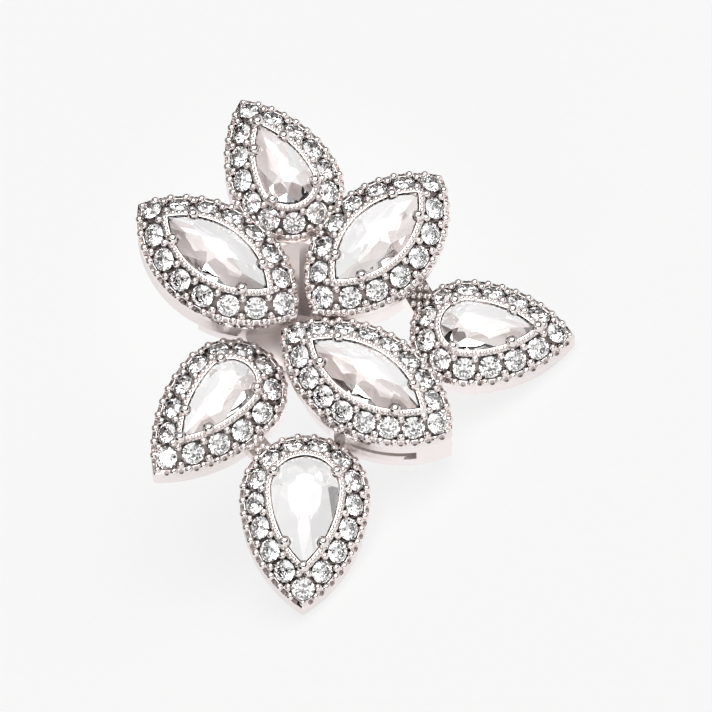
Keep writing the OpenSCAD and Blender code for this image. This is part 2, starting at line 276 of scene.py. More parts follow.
def covers(p, q):
    """True where petal p cuts into petal q of its own height."""
    return p.raised == q.raised and petals.index(p) < petals.index(q)


def prism(p, inset, low, high):
    """Upright solid over a petal's outline."""
    plan = [in_flower(p, x, y, 0)[:2] for x, y in outline(p, inset)]
    return extruded("prism", [[(*q, z) for q in plan] for z in (low, high)])


def box_on(part, x0, x1, half_y, low, high, bevel=hair):
    """Upright box on the own axes of a petal or the bar, by default with edges as good as sharp."""
    corners = ((x0, -half_y), (x1, -half_y), (x1, half_y), (x0, half_y))
    return block("box", [in_flower(part, x, y, 0)[:2] for x, y in corners], low, high, bevel)


# The lower raised petal has an open gallery: a long slot through its walls, whose floor falls off outwards.
# Its heights are from the rim, and the cutters reach well past what they cut.
slot_from, slot_to, slot_low, slot_high = 0.9, 4.0, -1.85, -1.0
fall_to, fall = 3.5, [(-0.1, -2.13), (0.2, -1.82), (0.2, -1.8), (-0.1, -1.8)]
past, past_side, over, under = 9, 6, 1, -3
frames = []
for p in petals:
    ring = frame_ring(p, band_profile(p.wall))
    cutters = [prism(q, 0, under, past) for q in petals if covers(q, p)]
    if p.name == "lower_right":
        top = p.rim + slot_high
        cutters.append(box_on(p, slot_from, slot_to, past_side, p.rim + slot_low, top))
        reach = box_on(p, slot_from, fall_to, past_side, -over, top)
        cutters.append(boolean(frame_ring(p, fall), "INTERSECT", [reach]))
    if p.wall_from > -p.reach:
        cutters.append(box_on(p, -past, p.wall_from, past_side, p.rim - p.wall - over, p.rim - short_wall))
    frames.append(boolean(ring, "DIFFERENCE", cutters) if cutters else ring)

# A set-back pedestal stands under the inner half of every raised petal.
raised_petals = [p for p in petals if p.raised]
pedestal_inset, pedestal_wall, pedestal_end, pedestal_foot, pedestal_lap = 0.5, 0.84, -0.6, 0.2, 0.1
for p in raised_petals:
    top = p.rim - short_wall + pedestal_lap
    pedestal = prism(p, pedestal_inset, pedestal_foot, top)
    boolean(pedestal, "DIFFERENCE", [prism(p, pedestal_inset + pedestal_wall, -over, top + over),
        box_on(p, pedestal_end, past, past, -over, top + over)])
    frames.append(pedestal)

# A plain plate behind the middle joins the petals, with a bridge to the top one and a ridged web over it, a
# bar to the right one and a collar that takes the post. The backs are kept a hair out of one plane.
hub_x, hub_y, hub_r, hub_h = 0.2, 0.2, 2.8, 1.3
bridge_w, bridge_end = 2.2, 5.2
web_end, web_h, web_fall = 4.0, 2.3, 0.6
collar_r, collar_top, collar_ease = 1.25, 0.5, 0.12
Bar = namedtuple("Bar", "x y turn half_length half_w low high")
bar = Bar(6.7, -2.9, 51, 1, 0.7, 0.8, 1.45)
frames.append(block("hub", arc(hub_x, hub_y, hub_r, 0, math.tau, 64)[:-1], 0, hub_h))
frames.append(block("bridge", [(hub_x - bridge_w / 2, hub_y), (hub_x + bridge_w / 2, hub_y),
    (hub_x + bridge_w / 2, hub_y + bridge_end), (hub_x - bridge_w / 2, hub_y + bridge_end)], hair, hub_h))
gable = [(-bridge_w / 2, 2 * hair), (bridge_w / 2, 2 * hair), (bridge_w / 2, web_h - web_fall), (0, web_h),
         (-bridge_w / 2, web_h - web_fall)]
frames.append(extruded("web", [[(hub_x + x, hub_y + y, z) for x, z in gable] for y in (0, web_end)]))
frames.append(block("collar", arc(post_x, post_y, collar_r, 0, math.tau, 64)[:-1],
    -collar_h, collar_top, collar_ease))
frames.append(box_on(bar, -bar.half_length, bar.half_length, bar.half_w, bar.low, bar.high, edge_r))

# Two short links are soldered in behind round ends: from the right petal up to the one raised over it, and
# from the bottom petal across to the lower left one. A profile is (distance from the middle of the petal
# whose round end carries the link, height), and its second and third points are the face that is grained.
Link = namedtuple("Link", "x y turn half_w profile")
right, bottom = petals[4], petals[6]
links = [
    Link(right.x, right.y, 143, 0.75,
         [(2.72, 1.0), (2.72, 1.58), (3.45, 3.05), (3.9, 3.05), (3.9, 2.2), (3.1, 1.0)]),
    Link(bottom.x, bottom.y, 132, 0.55, [(3.15, 0.6), (3.15, 1.38), (3.9, 1.6), (3.9, 0.6)]),
]
for link in links:
    sides = (-link.half_w, link.half_w)
    frames.append(extruded("link", [[in_flower(link, out, y, z) for out, z in link.profile] for y in sides]))

# Once the frames are joined, the seats of the small stones are drilled into the channel, and a socket for
# the post's peg into the collar.
halo_d = 1.15
halo_sink = 0.02
culet_z = -0.43 * halo_d
girdle_low = -0.03
seat_r = halo_d / 2 + 0.008
seat_tip, seat_edge, seat_top = culet_z - 0.05, girdle_low - 0.04, 0.3
peg_r = 0.25
socket_r, socket_low, socket_top = peg_r + fit_gap, -2, 0.6


def turned(name, profile, steps):
    """Closed round piece from a profile of (radius, height) that runs from the axis to the axis."""
    turns = np.linspace(0, math.tau, steps, endpoint=False)
    points = [(r * math.cos(a), r * math.sin(a), z) for r, z in profile for a in turns]
    return solid(name, points, [f for j in range(len(profile) - 1) for f in side_faces(steps, j, j + 1)])


def cylinder(name, r, low, high, steps):
    return turned(name, [(0, low), (r, low), (r, high), (0, high)], steps)


def stone_places(node):
    """Points where the stones of a CAD node stand on their band, and their upright axes."""
    bm = bmesh.new()
    bm.from_mesh(node.data)
    bmesh.ops.transform(bm, matrix=lean.inverted(), verts=bm.verts)
    bmesh.ops.remove_doubles(bm, verts=bm.verts, dist=1e-4)
    places = []
    left = set(bm.verts)
    while left:
        group, edge = set(), {next(iter(left))}
        while edge:
            group |= edge
            edge = {e.other_vert(v) for v in edge for e in v.link_edges} - group
        left -= group
        corners = np.array([v.co for v in group])
        middle = corners.mean(0)
        axis = np.linalg.eigh(np.cov((corners - middle).T))[1][:, 0]
        axis = axis if axis[2] > 0 else -axis
        lowest = ((corners - middle) @ axis).min()
        places.append((middle + axis * (lowest - culet_z + halo_sink), axis))
    bm.free()
    return sorted(places, key=lambda place: tuple(np.round(place[0], 3)))


def points_mesh(name, places):
    """Points (place, axis and, where it isn't 1, size) for the things that are set there."""
    mesh = bpy.data.meshes.new(name)
    mesh.from_pydata([tuple(place[0]) for place in places], [], [])
    stored = mesh.attributes.new("axis", "FLOAT_VECTOR", "POINT")
    stored.data.foreach_set("vector", np.array([place[1] for place in places], dtype=np.float32).ravel())
    stored = mesh.attributes.new("size", "FLOAT", "POINT")
    stored.data.foreach_set("value", [place[2] if len(place) > 2 else 1.0 for place in places])
    made = bpy.data.objects.new(name, mesh)
    bpy.context.scene.collection.objects.link(made)
    return made


def setting_tree():
    """Geometry nodes that set a copy of one thing on every point, turned and tipped a little by chance."""
    tree = bpy.data.node_groups.new("set_on_points", "GeometryNodeTree")
    for label, kind in (("Points", "Geometry"), ("Thing", "Object"), ("Spin", "Float"), ("Tip", "Float"),
                        ("Seed", "Int"), ("Finish", "Material")):
        tree.interface.new_socket(label, in_out="INPUT", socket_type="NodeSocket" + kind)
    tree.interface.new_socket("Set", in_out="OUTPUT", socket_type="NodeSocketGeometry")

    def add(kind, settings=(), **links):
        node = tree.nodes.new(kind)
        for key, value in dict(settings).items():
            setattr(node, key, value)
        for key, value in links.items():
            socket = node.inputs[int(key[1:])] if key[1:].isdigit() else node.inputs[key]
            if isinstance(value, bpy.types.NodeSocket):
                tree.links.new(value, socket)
            else:
                socket.default_value = value
        return node

    def stored(name, kind):
        return add("GeometryNodeInputNamedAttribute", {"data_type": kind}, Name=name).outputs["Attribute"]

    given = add("NodeGroupInput").outputs
    thing = add("GeometryNodeObjectInfo", _0=given["Thing"]).outputs["Geometry"]
    axis = stored("axis", "FLOAT_VECTOR")
    upright = add("FunctionNodeAlignRotationToVector", {"axis": "Z"}, Vector=axis).outputs[0]
    least = add("ShaderNodeCombineXYZ", X=add("ShaderNodeMath", {"operation": "MULTIPLY"},
        _0=given["Tip"], _1=-1.0).outputs[0], Y=0.0, Z=0.0).outputs[0]
    most = add("ShaderNodeCombineXYZ", X=given["Tip"], Y=0.0, Z=given["Spin"]).outputs[0]
    chance = add("FunctionNodeRandomValue", {"data_type": "FLOAT_VECTOR"}, _0=least, _1=most,
        Seed=given["Seed"]).outputs[0]
    turn = add("FunctionNodeEulerToRotation", _0=chance).outputs[0]
    both = add("FunctionNodeRotateRotation", {"rotation_space": "LOCAL"}, _0=upright, _1=turn).outputs[0]
    placed = add("GeometryNodeInstanceOnPoints", Points=given["Points"], Instance=thing, Rotation=both,
        Scale=stored("size", "FLOAT")).outputs[0]
    real = add("GeometryNodeRealizeInstances", _0=placed).outputs[0]
    finished = add("GeometryNodeSetMaterial", _0=real, Material=given["Finish"]).outputs[0]
    tree.links.new(finished, add("NodeGroupOutput").inputs[0])
    return tree


set_on_points = setting_tree()


def set_things(name, places, thing, finish=None, spin=0.0, tip=0.0, seed=0):
    """One mesh of things set on places, in the flower's axes. The thing itself is cleared away. What is only
    cut out of the metal needs no finish."""
    made = points_mesh(name, places)
    step = made.modifiers.new("set", "NODES")
    step.node_group = set_on_points
    given = {"Thing": thing, "Spin": spin, "Tip": tip, "Seed": seed, "Finish": finish}
    for item in set_on_points.interface.items_tree:
        if item.name in given:
            step[item.identifier] = given[item.name]
    bpy.context.view_layer.update()
    mesh = bpy.data.meshes.new_from_object(made.evaluated_get(bpy.context.evaluated_depsgraph_get()))
    made.modifiers.clear()
    made.data = mesh
    bpy.data.objects.remove(thing)
    return made


halo_places = stone_places(frame["nodes"]["halo_stones"])
seat = turned("seat", [(0, seat_tip), (seat_r, seat_edge), (seat_r, seat_top), (0, seat_top)], 24)
seats = set_things("seats", halo_places, seat)
setting = boolean(frames[0], "UNION", frames[1:])
socket = cylinder("socket", socket_r, socket_low, socket_top, 32)
socket.data.transform(Matrix.Translation((post_x, post_y, 0)))
boolean(setting, "DIFFERENCE", [seats, socket])

# The outer rail is cut into scallops, one beside every stone and one beside every gap between two.
rail_out, notch_out = 0.76, 0.82
notch_r, notch_low, notch_top = 0.14, -0.2, 0.3
on_axis, off_axis, least_apart = 0.05, 0.12, 0.2


def own_petal(point):
    """The petal in whose band a small stone stands, and the stone's place on that petal's own axes."""
    found = []
    for p in petals:
        x, y = own_axes(p, point)
        miss = abs(inset_at(p, x, y) - band_w / 2) + abs(point[2] - p.rim - band_rise / 2)
        found.append((miss, p, x, y))
    return min(found)[1:]


def at_tip(p, x, y):
    """True for the stone in a petal's tip."""
    return abs(y) < on_axis and (p.pointed or x > 0)


def rail_places(along, across, size=1.0):
    """Places on the bands beside every small stone: along is in stone pitches, across is down the slope."""
    made = []
    for p in petals:
        radius, offset = side_arc(p)
        row = [(x, y) for q, x, y in stones_in_bands if q is p]
        for x, y in row:
            pitch = min(math.hypot(x - u, y - v) for u, v in row if (u, v) != (x, y))
            tip = at_tip(p, x, y)
            for side in ((-1, 1) if tip else (math.copysign(1, y),)):
                round_end = x < 0 and not p.pointed
                middle_y, bend = (0, p.half) if round_end else (-side * offset, radius)
                bend -= band_w / 2
                angle = math.atan2(y - middle_y, x)
                away = math.copysign(1, side * math.pi / 2 - angle)
                for step in ((away,) if tip and along else (-1, 1) if along else (0,)):
                    turn = angle + step * along * pitch / bend
                    out = bend + across * math.cos(band_slope)
                    u, v = out * math.cos(turn), middle_y + out * math.sin(turn)
                    if not round_end and v * side < off_axis:
                        continue
                    level = p.rim + band_rise / 2 - across * math.sin(band_slope)
                    here = np.array(in_flower(p, u, v, level))
                    normal = in_flower(p, math.sin(band_slope) * math.cos(turn),
                        math.sin(band_slope) * math.sin(turn), math.cos(band_slope))
                    axis = np.array(normal) - (p.x, p.y, 0)
                    if all(np.linalg.norm(here - other[0]) > least_apart for other in made):
                        made.append((here, axis, size))
    return made


stones_in_bands = [own_petal(point) for point, axis in halo_places]
notch = cylinder("notch", notch_r, notch_low, notch_top, 12)
notches = set_things("notches", rail_places(0.0, notch_out) + rail_places(0.5, notch_out), notch)
boolean(setting, "DIFFERENCE", [notches])

# The polishing brush reaches the bands, rims and lips. Lower down the metal keeps the rough skin of the
# casting, its colour painted a little lighter to lift the shade there. Between the beads of the channel and
# of the links the metal is rougher, and shade is painted dark into its colour.
plated = (0.82, 0.76, 0.74, 1), (0.89, 0.835, 0.815, 1)
# Colour of the cast skin, painted lighter than the polished metal to lift the shade on walls, pedestals and
# plates.
cast_skin_painted_lighter = (0.87, 0.805, 0.79, 1), (0.95, 0.895, 0.88, 1)
# Painted shade: the dark colour blended in where the channel and the links' grain lie deep.
recess_painted_shade = (0.22, 0.185, 0.175, 1), (0.34, 0.295, 0.28, 1)
satin_rough, unreached_rough = 0.32, 0.2
mottle_per_m, mottle_rough = 420.0, 0.03
marks_per_m, marks_rough, marks_high = 9000.0, 0.09, 0.02
waves_per_m, waves_high, bump_strength, bump_m = 900.0, 0.7, 0.35, 0.00002
noise_floor = 0.04
low_skin, skin_below_rim = 1.32, 0.3
web_skin_from, web_skin_to = 0.15, 4.05
near_face = 0.02
recess_from, recess_gain, deepest_recess, polished_rail = 0.06, 5, 0.75, 0.1
grained_to = 1.7


def is_cast(point):
    """True on walls, pedestals and plates: low down, on the web, or well under a raised petal's rim."""
    over_web = abs(point[0] - hub_x) < bridge_w / 2 + near_face and web_skin_from < point[1] < web_skin_to
    if point[2] < low_skin or (over_web and point[2] < web_h + near_face):
        return True
    for p in raised_petals:
        if inset_at(p, *own_axes(p, point)) > -near_face / 2:
            return point[2] < p.rim - skin_below_rim
    return False


def recess_depth(point):
    """How far a point lies under the sloping surface of the band over it, or 0 where there is no band."""
    deepest = 0
    for p in petals:
        inset = inset_at(p, *own_axes(p, point))
        depth = (p.rim + inset * math.tan(band_slope) - point[2]) * math.cos(band_slope)
        if polished_rail < inset < band_w - near_face and depth < deepest_recess:
            deepest = max(deepest, depth)
    return deepest


def grained_face(link):
    """A link's grained face: middle of its foot, length, and its ways up, across and outwards."""
    foot, crest = (np.array(in_flower(link, out, 0, z)) for out, z in link.profile[1:3])
    length = np.linalg.norm(crest - foot)
    up, across = (crest - foot) / length, np.array(in_flower(link, 0, 1, 0)) - (link.x, link.y, 0)
    return foot, length, up, across, np.cross(up, across)


def between_grains(point):
    """True on the grained face of a link."""
    for link in links:
        foot, length, up, across, outwards = grained_face(link)
        offset = np.array(point) - foot
        if (abs(offset @ outwards) < near_face and abs(offset @ across) < link.half_w
                and 0 < offset @ up < grained_to):
            return True
    return False


class Signal:
    """A value on its way through a material's nodes. Arithmetic on it adds Math nodes."""

    def __init__(self, socket):
        self.socket = socket

    def node(self, kind, settings, sockets, out=0):
        """Any node of that kind: its settings are set first, then the values or links of its sockets."""
        tree = self.socket.id_data
        made = tree.nodes.new(kind)
        for key, value in settings.items():
            setattr(made, key, value)
        for key, value in sockets.items():
            if isinstance(value, Signal):
                tree.links.new(value.socket, made.inputs[key])
            else:
                made.inputs[key].default_value = value
        return Signal(made.outputs[out])

    def math(self, operation, first, second=0.0):
        return self.node("ShaderNodeMath", {"operation": operation}, {0: first, 1: second})

    def __add__(self, other):
        return self.math("ADD", self, other)

    def __sub__(self, other):
        return self.math("SUBTRACT", self, other)

    def __rsub__(self, other):
        return self.math("SUBTRACT", other, self)

    def __mul__(self, other):
        return self.math("MULTIPLY", self, other)

    __radd__ = __add__
    __rmul__ = __mul__

    def blend(self, first, second):
        """Colour between two colours, by this value."""
        return self.node("ShaderNodeMix", {"data_type": "RGBA"}, {0: self, 6: first, 7: second}, out=2)

    def noise(self, scale, detail=2.0, roughness=0.5):
        """Noise at this place, that many features to the metre."""
        return self.node("ShaderNodeTexNoise", {}, {
            "Vector": self, "Scale": scale, "Detail": detail, "Roughness": roughness})

    def ranged(self, start, end, low, high, kind="SMOOTHSTEP"):
        """What runs from start to end, taken to run from low to high."""
        return self.node("ShaderNodeMapRange", {"interpolation_type": kind}, {
            "Value": self, 1: start, 2: end, 3: low, 4: high})

    def stretched(self, x, y, z):
        """This place on axes stretched by those amounts."""
        return self.node("ShaderNodeMapping", {}, {"Vector": self, "Scale": (x, y, z)})

    def feeds(self, shader, socket):
        self.socket.id_data.links.new(self.socket, shader.inputs[socket])


def new_finish(name, **uniform):
    """A material's shader, with the values that are the same all over, and the place on the piece."""
    material = bpy.data.materials.new(name)
    material.use_nodes = True
    shader = material.node_tree.nodes["Principled BSDF"]
    for key, value in uniform.items():
        shader.inputs[key.replace("_", " ")].default_value = value
    return material, shader, Signal(material.node_tree.nodes.new("ShaderNodeTexCoord").outputs["Object"])


def polished_gold(name, rub=(1.0, 1.0, 1.0), smooth=0.07, cast=False):
    """Rhodium-plated white gold: hand-polished, so slightly uneven, with fine rub marks along one way. Where
    the piece's cast attribute is 1, it keeps the rough skin of the casting, its colour painted a little
    lighter to lift the shade there, and where its recess attribute rises to 1, out of the polishing brush's
    reach, it is rougher and painted dark as shade."""
    material, shader, place = new_finish(name, Metallic=1.0)
    mottle = place.noise(mottle_per_m, detail=3.0)
    marks = place.stretched(*rub).noise(marks_per_m, detail=4.0, roughness=0.6)
    colour = mottle.blend(*plated)
    rough = marks * marks_rough + mottle * mottle_rough + smooth - noise_floor
    if cast:
        skin = place.node("ShaderNodeAttribute", {"attribute_name": "cast"}, {}, out=2)
        # Painted light: the cast skin takes the lighter colour, lifting the shade on walls, pedestals and
        # plates.
        colour = skin.blend(colour, mottle.blend(*cast_skin_painted_lighter))
        recess = place.node("ShaderNodeAttribute", {"attribute_name": "recess"}, {}, out=2)
        # Painted shade: the recess attribute blends in the dark colour where the channel and the links' grain
        # lie in shade.
        colour = recess.blend(colour, mottle.blend(*recess_painted_shade))
        rough = rough + skin * satin_rough + recess * unreached_rough
    colour.feeds(shader, "Base Color")
    rough.feeds(shader, "Roughness")
    waves = place.noise(waves_per_m, detail=1.0) * waves_high + marks * marks_high
    bumps = waves.node("ShaderNodeBump", {}, {"Strength": bump_strength, "Distance": bump_m, "Height": waves})
    bumps.feeds(shader, "Normal")
    return material


def fit_piece(piece, name, material, sharp=None):
    """Leans a finished piece into the frame, with its finish and body. Edges over sharp stay crisp."""
    piece.name = piece.data.name = name
    piece.data.transform(lean)
    piece.data.materials.clear()
    piece.data.materials.append(material)
    if sharp is not None:
        piece.data.shade_smooth()
        piece.data.set_sharp_from_angle(angle=math.radians(sharp))
    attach(piece, "root")


skin = setting.data.attributes.new("cast", "FLOAT", "FACE")
skin.data.foreach_set("value", [float(is_cast(f.center)) for f in setting.data.polygons])
# Painted shade: the recess attribute sets where the dark colour is painted, fully on the links' grained faces
# and by depth in the channel.
recess_shade_and_dull = setting.data.attributes.new("recess", "FLOAT", "FACE")
recess_shade_and_dull.data.foreach_set("value", [1.0 if between_grains(f.center) else
    min(1, recess_gain * max(0, recess_depth(f.center) - recess_from)) for f in setting.data.polygons])
fit_piece(setting, "setting_metal", polished_gold("polished_white_gold", cast=True), sharp=30)
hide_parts("setting")


# The ear post is a straight wire of drawn white gold with a round end, let into the collar by a thinner peg
# and soldered there. A shallow groove near its tip is where a clutch snaps on.
post_r = post_mount["dims"]["r_mm"]
post_len = post_mount["dims"]["length_mm"] + post_r + fit_gap
groove_at, groove_r, groove_out = 2.1, 0.22, 0.12
shoulder_ease = 0.04
groove_fan = math.acos(groove_out / groove_r)
groove = [(post_r + groove_out - groove_r * math.cos(a), groove_at + groove_r * math.sin(a))
          for a in np.linspace(-groove_fan, groove_fan, 9)]
tip_end = [(post_r * math.sin(a), post_r - post_r * math.cos(a)) for a in np.linspace(0, math.pi / 2, 10)]
shoulder = post_len - fit_gap
peg_end = post_len + socket_top + collar_h - fit_gap
post = turned("post", tip_end + groove + [(post_r, shoulder - shoulder_ease),
    (post_r - shoulder_ease, shoulder), (peg_r, shoulder), (peg_r, peg_end), (0, peg_end)], 48)
post.data.transform(Matrix.Translation((post_x, post_y, -collar_h - post_len)))
drawn_gold = polished_gold("drawn_white_gold", rub=(0.12, 0.12, 1.0), smooth=0.1)
fit_piece(post, "ear_post", drawn_gold, sharp=35)
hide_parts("post")


# Small clear stones, brilliant cut, stand in drilled seats in a single row along the middle of every band.
# Each one is set in the place of the CAD model's stone, turned by chance about its own axis and tipped a
# little, as set stones are.
crown_h = 0.16 * halo_d
girdle_top = 0.01
table_share = 0.57
star_slope, upper_half_more, lower_half_more = 21, 6, 1.6


def cut_gem(name, plan, low, high, facets):
    """Convex stone: an upright block over plan, cut by planes (point, outward normal)."""
    n = len(plan)
    bm = bmesh.new()
    rings = [[bm.verts.new((x, y, z)) for x, y in plan] for z in (low, high)]
    bm.faces.new(rings[0])
    bm.faces.new(rings[1])
    for k in range(n):
        bm.faces.new((rings[0][k], rings[0][(k + 1) % n], rings[1][(k + 1) % n], rings[1][k]))
    bmesh.ops.recalc_face_normals(bm, faces=bm.faces)
    for point, normal in facets:
        cut = bmesh.ops.bisect_plane(bm, geom=bm.verts[:] + bm.edges[:] + bm.faces[:], dist=1e-5,
            plane_co=point, plane_no=normal, clear_outer=True)
        rim = [e for e in cut["geom_cut"] if isinstance(e, bmesh.types.BMEdge) and e.is_boundary]
        if rim:
            bmesh.ops.edgeloop_fill(bm, edges=rim)
    bmesh.ops.remove_doubles(bm, verts=bm.verts, dist=1e-5)
    bmesh.ops.recalc_face_normals(bm, faces=bm.faces)
    mesh = bpy.data.meshes.new(name)
    bm.to_mesh(mesh)
    bm.free()
    made = bpy.data.objects.new(name, mesh)
    bpy.context.scene.collection.objects.link(made)
    return made


def round_facets(count, first, across, height, slope, upwards=1):
    """Ring of facets: each passes through (across, height) and falls away at that slope, in degrees."""
    tilt = math.radians(slope)
    turns = [math.radians(first + 360 * k / count) for k in range(count)]
    return [((across * math.cos(a), across * math.sin(a), height),
             (math.sin(tilt) * math.cos(a), math.sin(tilt) * math.sin(a), upwards * math.cos(tilt)))
            for a in turns]


def brilliant():
    """Round brilliant: table, stars, mains and halves above the girdle, halves and mains below it."""
    r = halo_d / 2
    flat = r * math.cos(math.pi / 16)
    crown_slope = math.degrees(math.atan((crown_h - girdle_top) / ((1 - table_share) * r)))
    pavilion_slope = math.degrees(math.atan((girdle_low - culet_z) / r))
    facets = round_facets(8, 0, r, girdle_top, crown_slope)
    facets += round_facets(16, 11.25, flat, girdle_top, crown_slope + upper_half_more)
    facets += round_facets(8, 22.5, table_share * r * math.cos(math.pi / 8), crown_h, star_slope)
    facets += round_facets(8, 0, r, girdle_low, pavilion_slope, -1)
    facets += round_facets(16, 11.25, flat, girdle_low, pavilion_slope + lower_half_more, -1)
    return cut_gem("brilliant", arc(0, 0, r, 0, math.tau, 16)[:-1], -over, crown_h, facets)


def clear_stone(name, tint, cloud, index):
    """Colourless stone: clear all through, with a trace of tint, and a polish that differs a little."""
    material, shader, place = new_finish(name, Transmission_Weight=1.0, IOR=index, Metallic=0.0)
    place.noise(620.0, detail=1.0).blend((1, 1, 1, 1), tint).feeds(shader, "Base Color")
    (place.noise(2600.0, detail=2.0) * cloud).feeds(shader, "Roughness")
    return material


halo = brilliant()
halo.data.transform(Matrix.Translation((0, 0, -halo_sink)))
halo_finish = clear_stone("clear_brilliants", tint=(0.94, 0.91, 0.91, 1), cloud=0.02, index=2.417)
halo = set_things("halo", halo_places, halo, halo_finish, spin=math.tau, tip=0.05, seed=5)
fit_piece(halo, "halo_brilliants", halo_finish)
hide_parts("halo_stones")


# Shared beads of white gold, raised from both rails of the band, hold the small stones by their edges: four
# to a stone and two in each gap, with a row of smaller ones along the lip and one in the corner beyond the
# stone at a petal's tip. Rows of two and three of them grain the faces of the links.
bead_r, bead_sink, bead_root = 0.23, 0.05, -0.32
inner_bead, inner_out = 0.75, 0.78
gap_bead, gap_out = 0.95, 0.46
lip_bead, lip_out = 0.7, 0.8
corner_in = 0.22
grain_bead, grain_pitch, grain_margin = 0.85, 0.42, 0.2
bead_places = rail_places(0.25, rail_out) + rail_places(0.25, -inner_out, inner_bead)
bead_places += rail_places(0.5, gap_out, gap_bead) + rail_places(0.5, -gap_out, gap_bead)
bead_places += rail_places(0.0, -lip_out, lip_bead) + rail_places(0.5, -lip_out, lip_bead)
for p, x, y in stones_in_bands:
    radius, offset = side_arc(p)
    if at_tip(p, x, y):
        corner = math.copysign(math.sqrt((radius - corner_in) ** 2 - offset ** 2), x)
        lean_out = np.array(in_flower(p, math.copysign(math.sin(band_slope), x), 0, math.cos(band_slope)))
        place = np.array(in_flower(p, corner, 0, p.rim + corner_in * math.tan(band_slope)))
        bead_places.append((place, lean_out - (p.x, p.y, 0), inner_bead))
for link in links:
    foot, length, up, across, outwards = grained_face(link)
    rows = round(length / grain_pitch)
    for row in range(rows):
        middle = foot + up * length * (row + 0.5) / rows
        count = 3 if row % 2 else 2
        for aside in np.linspace(-1, 1, count) * (link.half_w - grain_margin) * (count - 1) / 2:
            bead_places.append((middle + across * aside, outwards, grain_bead))
dome = arc(0, -bead_sink, bead_r, 0, math.pi / 2, 4)
bead = turned("bead", [(0, bead_root), (bead_r, bead_root)] + dome, 12)
raised_gold = polished_gold("raised_white_gold", smooth=0.1)
beads = set_things("beads", bead_places, bead, raised_gold)
fit_piece(beads, "shared_beads", raised_gold, sharp=50)


# The centre stones are clear and rose cut: a flat back, an upright girdle, a skirt of triangles, a crown of
# triangles and a small six-sided table. Their outline follows the petal, and they lie on the ledge inside
# its lip.
stone_inset = band_w + lip_w + 0.04
girdle_h = 0.26
rose_h = 0.98
skirt_size, skirt_rise = 0.66, 0.62
table_size = 0.3
stone_room = 0.01


def rose_facets(p):
    """Planes of a centre stone's facets, from twelve points round its edge, six above and six on top."""
    radius, offset = side_arc(p)
    side = radius - stone_inset
    tip = math.sqrt(side ** 2 - offset ** 2)
    back = tip if p.pointed else p.half - stone_inset
    edge = []
    for k in range(12):
        a = math.tau * k / 12
        x = (tip if math.cos(a) > 0 else back) * math.cos(a)
        if x < 0 and not p.pointed:
            y = math.sqrt(max(0, back ** 2 - x ** 2))
        else:
            y = max(0, math.sqrt(side ** 2 - x ** 2) - offset)
        edge.append(np.array((x, math.copysign(y, math.sin(a)), girdle_h)))
    ring = [q * (skirt_size, skirt_size, 1) + (0, 0, skirt_rise * (rose_h - girdle_h)) for q in edge[1::2]]
    table = [q * (table_size, table_size, 0) + (0, 0, rose_h) for q in edge[0::2]]
    corners = []
    for k in range(6):
        n = (k + 1) % 6
        corners += [
            (edge[2 * k], ring[k], edge[2 * k + 1]), (edge[2 * k + 1], ring[k], edge[2 * n]),
            (edge[2 * n], ring[k], ring[n]), (ring[k], table[n], ring[n]), (ring[k], table[k], table[n]),
        ]
    planes = [((0, 0, rose_h), (0, 0, 1))]
    for a, b, c in corners:
        normal = np.cross(b - a, c - a)
        planes.append((tuple(a), tuple(normal if normal[2] > 0 else -normal)))
    return planes


def rose_cut(p, room=0.0):
    """A centre stone in its place, or with some room round it, the space that it needs."""
    planes = [((x, y, z + room), normal) for (x, y, z), normal in rose_facets(p)]
    stone = cut_gem(p.name, outline(p, stone_inset - room), -room, rose_h + over, planes)
    stone.data.transform(Matrix.Translation((p.x, p.y, p.rim + band_rise - seat_depth + fit_gap))
                         @ Matrix.Rotation(math.radians(p.turn), 4, "Z"))
    return stone


rooms = []
rose_finish = clear_stone("clear_rose_cuts", tint=(0.99, 0.97, 0.97, 1), cloud=0.01, index=1.9)
for p in petals:
    rooms.append(rose_cut(p, stone_room))
    stone = rose_cut(p)
    fit_piece(stone, "rose_cut_" + p.name, rose_finish)
    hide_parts("stone_" + p.name)


# Round prongs of white gold, soldered into the lip, are pushed over the edge of a centre stone: two at each
# end of a marquise, and five round a pear, of which one stands at its tip.
prong_r = 0.32
prong_out = 0.08
prong_foot, prong_rise = 0.005, 0.06
marquise_prong, pear_prong, tip_prong = 0.95, 1.15, 0.16
round_prong = math.radians(62)


def side_prong(p, x, s):
    """Place of a prong beside a petal's stone, on the petal's own axes."""
    radius, offset = side_arc(p)
    a = math.asin(x / (radius - stone_inset))
    return x, s * ((radius - stone_inset + prong_out) * math.cos(a) - offset)


def prong_plan(p):
    """Places of a petal's prongs, on its own axes: the first two sizes count back from the stone's tip, the
    third out from it, and the angle is from the long axis at the round end."""
    radius, offset = side_arc(p)
    tip = math.sqrt((radius - stone_inset) ** 2 - offset ** 2)
    if p.pointed:
        return [side_prong(p, e * (tip - marquise_prong), s) for e in (-1, 1) for s in (-1, 1)]
    back = p.half - stone_inset + prong_out
    round_end = [(-back * math.cos(round_prong), s * back * math.sin(round_prong)) for s in (-1, 1)]
    return [side_prong(p, tip - pear_prong, s) for s in (-1, 1)] + round_end + [(tip + tip_prong, 0)]


prong_places = [(np.array(in_flower(p, x, y, p.rim + band_rise - seat_depth)), np.array((0, 0, 1.0)))
                for p in petals for x, y in prong_plan(p)]
dome = arc(0, seat_depth + prong_rise, prong_r, 0, math.pi / 2, 8)
prong = turned("prong", [(0, prong_foot), (prong_r, prong_foot)] + dome, 24)
pushed_gold = polished_gold("pushed_white_gold")
prongs = set_things("prongs", prong_places, prong, pushed_gold)
boolean(prongs, "DIFFERENCE", rooms)
fit_piece(prongs, "prong_beads", pushed_gold, sharp=40)


